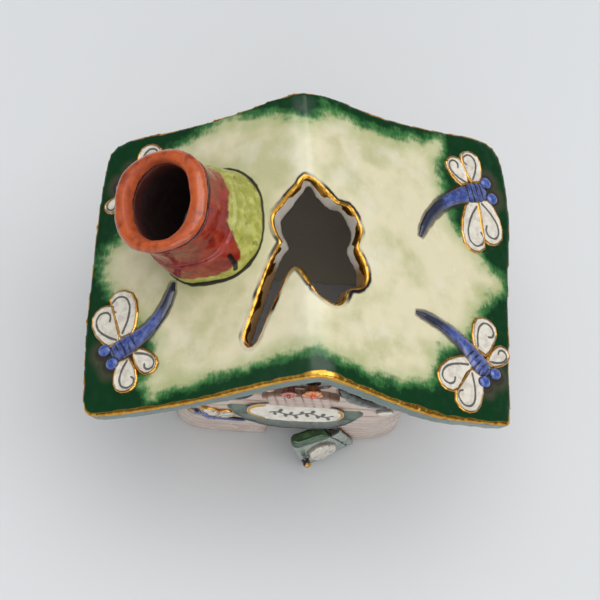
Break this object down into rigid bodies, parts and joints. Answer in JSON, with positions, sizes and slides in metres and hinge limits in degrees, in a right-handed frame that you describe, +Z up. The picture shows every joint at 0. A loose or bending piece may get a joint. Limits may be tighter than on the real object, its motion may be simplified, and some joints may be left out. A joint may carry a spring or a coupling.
{
  "type": "birdhouse",
  "caption": "Small hand-built glazed ceramic cottage birdhouse with a folded gable roof, dragonfly cut-out, crooked hollow chimney and a door ajar.",
  "frame": {"origin": "centre of the roof's plan rectangle, on the plane the walls stand on", "axes": "+X to the viewer's right across the slopes, +Y from the front towards the back along the ridge, +Z up"},
  "size_m": [0.1511, 0.11, 0.128],
  "materials": {
    "wall_glaze": "glossy",
    "roof_glaze": "glossy",
    "chimney_glaze": "glossy",
    "rim_glaze": "glossy",
    "moss_glaze": "glossy",
    "door_glaze": "glossy",
    "ivory_glaze": "glossy",
    "ochre_glaze": "glossy",
    "bark_glaze": "glossy",
    "sage_glaze": "glossy",
    "pink_glaze": "glossy",
    "orange_glaze": "glossy",
    "blue_glaze": "glossy",
    "wing_glaze": "glossy"
  },
  "bodies": {
    "root": {"house_walls": "wall_glaze", "roof_slab": "roof_glaze", "chimney_tube": "chimney_glaze", "chimney_rim": "rim_glaze", "chimney_foot": "moss_glaze", "door_slab": "door_glaze", "door_fillet": "door_glaze", "door_window": "ivory_glaze", "door_knob": "bark_glaze", "lintel": "ochre_glaze", "name_plaque": "sage_glaze", "plaque_face": "ivory_glaze", "planter": "wall_glaze", "gable_window": "bark_glaze", "blossom_pink": "pink_glaze", "blossom_orange": "orange_glaze", "blossom_leaf": "ochre_glaze", "eave_bough_right": "bark_glaze", "eave_bough_left": "bark_glaze", "eave_leaf": "ivory_glaze", "roof_back_right_body": "blue_glaze", "roof_back_right_eye_left": "blue_glaze", "roof_back_right_eye_right": "blue_glaze", "roof_back_right_wing_fore_left": "wing_glaze", "roof_back_right_wing_hind_left": "wing_glaze", "roof_back_right_wing_fore_right": "wing_glaze", "roof_back_right_wing_hind_right": "wing_glaze", "roof_front_right_body": "blue_glaze", "roof_front_right_eye_left": "blue_glaze", "roof_front_right_eye_right": "blue_glaze", "roof_front_right_wing_fore_left": "wing_glaze", "roof_front_right_wing_hind_left": "wing_glaze", "roof_front_right_wing_fore_right": "wing_glaze", "roof_front_right_wing_hind_right": "wing_glaze", "roof_front_left_body": "blue_glaze", "roof_front_left_eye_left": "blue_glaze", "roof_front_left_eye_right": "blue_glaze", "roof_front_left_wing_fore_left": "wing_glaze", "roof_front_left_wing_hind_left": "wing_glaze", "roof_front_left_wing_fore_right": "wing_glaze", "roof_front_left_wing_hind_right": "wing_glaze", "roof_back_left_body": "blue_glaze", "roof_back_left_eye_left": "blue_glaze", "roof_back_left_eye_right": "blue_glaze", "roof_back_left_wing_fore_left": "wing_glaze", "roof_back_left_wing_hind_left": "wing_glaze", "roof_back_left_wing_fore_right": "wing_glaze", "roof_back_left_wing_hind_right": "wing_glaze", "wall_body": "blue_glaze", "wall_eye_left": "blue_glaze", "wall_eye_right": "blue_glaze", "wall_wing_fore_left": "wing_glaze", "wall_wing_hind_left": "wing_glaze", "wall_wing_fore_right": "wing_glaze", "wall_wing_hind_right": "wing_glaze"}
  },
  "joints": []
}
